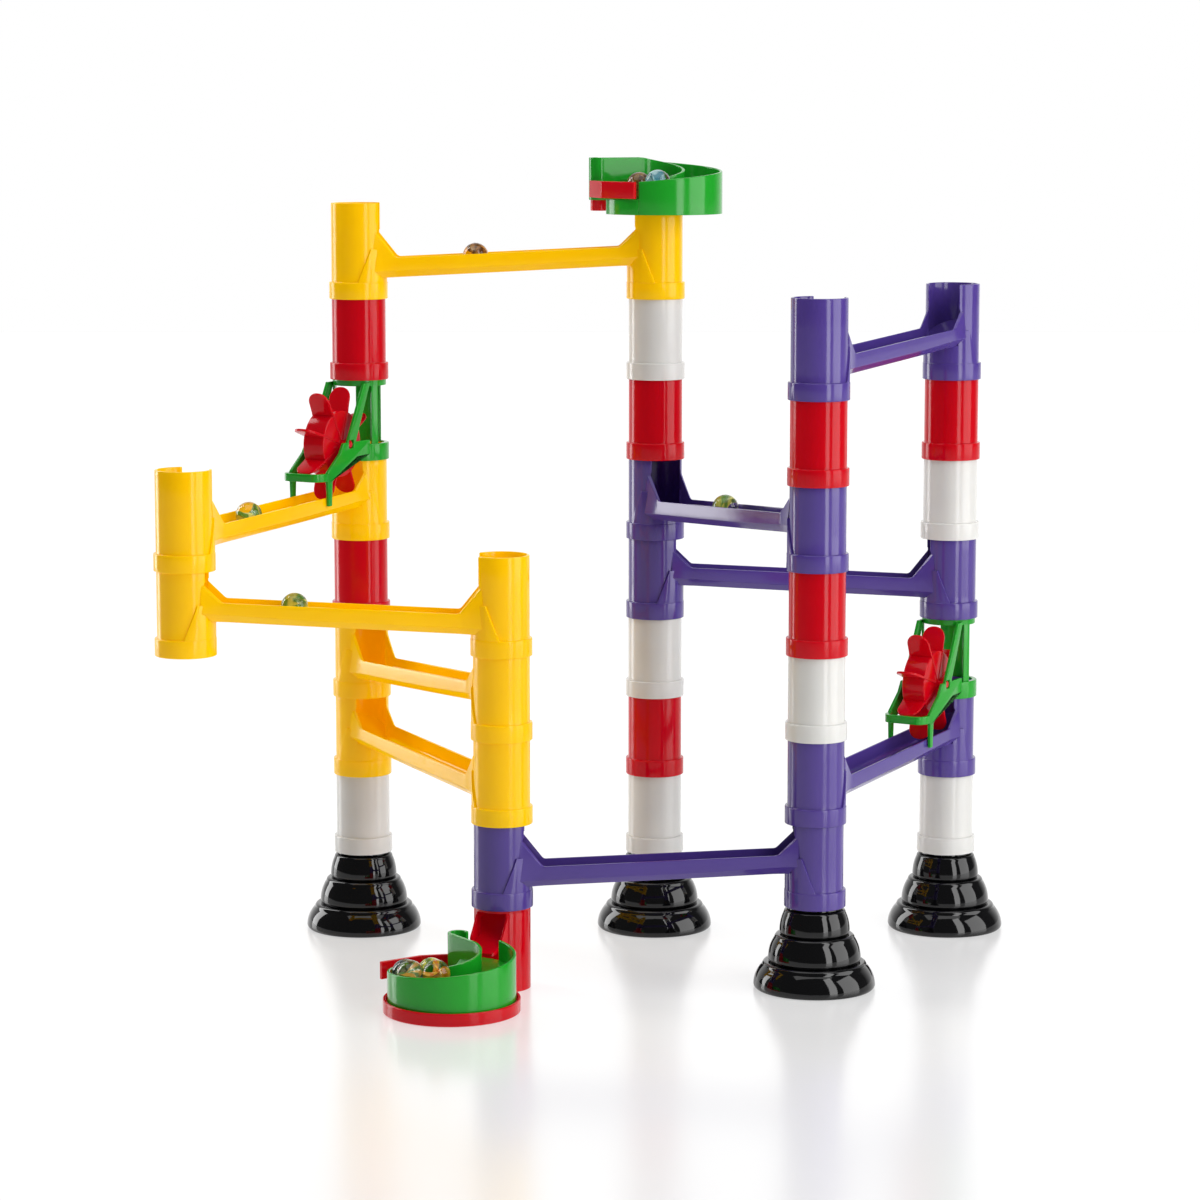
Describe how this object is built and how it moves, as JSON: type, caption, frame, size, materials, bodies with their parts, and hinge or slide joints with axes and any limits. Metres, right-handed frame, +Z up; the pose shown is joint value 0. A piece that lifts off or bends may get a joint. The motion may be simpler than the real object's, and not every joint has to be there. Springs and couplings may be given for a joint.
{
  "type": "marble run",
  "caption": "Toy marble run of stacked plastic tubes on bell feet, joined by sloping channels, with a spiral start tray, paddle wheels, a spiral end tray and glass marbles.",
  "frame": {"origin": "middle of the whole footprint, on the table top", "axes": "+X along the longer rows of columns, to the right seen from the side where the end tray is; +Y away from that side; +Z up"},
  "size_m": [0.5172, 0.2942, 0.4861],
  "materials": {
    "yellow": "gloss",
    "red": "gloss",
    "purple": "gloss",
    "white": "gloss, slightly translucent",
    "green": "gloss",
    "black": "high gloss",
    "amber_glass": "polished",
    "clear_glass": "polished",
    "blue_glass": "polished"
  },
  "bodies": {
    "root": {"foot_a": "black", "foot_d": "black", "foot_e": "black", "foot_f": "black", "tube_a1_white": "white", "tube_a4_red": "red", "tube_a7_red": "red", "tube_d1_white": "white", "tube_d2_red": "red", "tube_d3_white": "white", "tube_d6_red": "red", "tube_d7_white": "white", "tube_e3_white": "white", "tube_e4_red": "red", "tube_e6_red": "red", "tube_f1_white": "white", "tube_f5_white": "white", "tube_f6_red": "red", "track_1_yellow": "yellow", "track_2_yellow": "yellow", "track_3_yellow": "yellow", "track_4_yellow": "yellow", "track_5_yellow": "yellow", "track_6_purple": "purple", "track_7_purple": "purple", "track_8_purple": "purple", "track_9_purple": "purple", "track_10_purple": "purple", "wheel_frame_upper": "green", "wheel_frame_lower": "green", "end_tray": "green", "spout_foot": "red"},
    "end_gate": {"end_gate": "red"},
    "marble_end_1": {"marble_end_1": "amber_glass"},
    "marble_end_2": {"marble_end_2": "amber_glass"},
    "marble_end_3": {"marble_end_3": "clear_glass"},
    "marble_end_4": {"marble_end_4": "clear_glass"},
    "marble_start_1": {"marble_start_1": "blue_glass"},
    "marble_start_2": {"marble_start_2": "clear_glass"},
    "marble_track_1": {"marble_track_1": "amber_glass"},
    "marble_track_2": {"marble_track_2": "clear_glass"},
    "marble_track_3": {"marble_track_3": "clear_glass"},
    "marble_track_9": {"marble_track_9": "clear_glass"},
    "start_gate": {"start_gate": "red"},
    "start_tray": {"start_tray": "green"},
    "wheel_lower": {"wheel_lower": "red"},
    "wheel_upper": {"wheel_upper": "red"}
  },
  "joints": [
    {"name": "wheel_upper_spin", "type": "hinge", "parent": "root", "child": "wheel_upper", "pos_m": [-0.16332, 0.0832, 0.311], "axis": [0.866, -0.5, 0], "continuous": true},
    {"name": "wheel_lower_spin", "type": "hinge", "parent": "root", "child": "wheel_lower", "pos_m": [0.20667, 0.0832, 0.161], "axis": [0.866, -0.5, 0], "continuous": true},
    {"name": "start_tray_turn", "type": "hinge", "parent": "root", "child": "start_tray", "pos_m": [0.03717, 0.11005, 0.4516], "axis": [0, 0, 1], "continuous": true},
    {"name": "start_gate_swing", "type": "hinge", "parent": "start_tray", "child": "start_gate", "pos_m": [0.00187, 0.11655, 0.4516], "axis": [0, 0, 1], "range_deg": [-70, 0]},
    {"name": "end_gate_swing", "type": "hinge", "parent": "root", "child": "end_gate", "pos_m": [-0.08081, -0.06747, 0.0023], "axis": [0, 0, 1], "range_deg": [-55, 15]},
    {"name": "marble_track_1_roll", "type": "slide", "parent": "root", "child": "marble_track_1", "axis": [-0.9989, 0, -0.0474], "range_m": [-0.08, 0.044]},
    {"name": "marble_track_2_roll", "type": "slide", "parent": "root", "child": "marble_track_2", "axis": [-0.4994, -0.8651, -0.0474], "range_m": [-0.04, 0.036]},
    {"name": "marble_track_3_roll", "type": "slide", "parent": "root", "child": "marble_track_3", "axis": [0.9989, 0, -0.0474], "range_m": [-0.034, 0.09]},
    {"name": "marble_track_9_roll", "type": "slide", "parent": "root", "child": "marble_track_9", "axis": [-0.4994, 0.8651, -0.0474], "range_m": [-0.07, 0.052]},
    {"name": "marble_start_1_lift", "type": "slide", "parent": "start_tray", "child": "marble_start_1", "axis": [0, 0, 1], "range_m": [0, 0.06]},
    {"name": "marble_start_2_lift", "type": "slide", "parent": "start_tray", "child": "marble_start_2", "axis": [0, 0, 1], "range_m": [0, 0.06]},
    {"name": "marble_end_1_lift", "type": "slide", "parent": "root", "child": "marble_end_1", "axis": [0, 0, 1], "range_m": [0, 0.04]},
    {"name": "marble_end_2_lift", "type": "slide", "parent": "root", "child": "marble_end_2", "axis": [0, 0, 1], "range_m": [0, 0.04]},
    {"name": "marble_end_3_lift", "type": "slide", "parent": "root", "child": "marble_end_3", "axis": [0, 0, 1], "range_m": [0, 0.04]},
    {"name": "marble_end_4_lift", "type": "slide", "parent": "root", "child": "marble_end_4", "axis": [0, 0, 1], "range_m": [0, 0.04]}
  ]
}
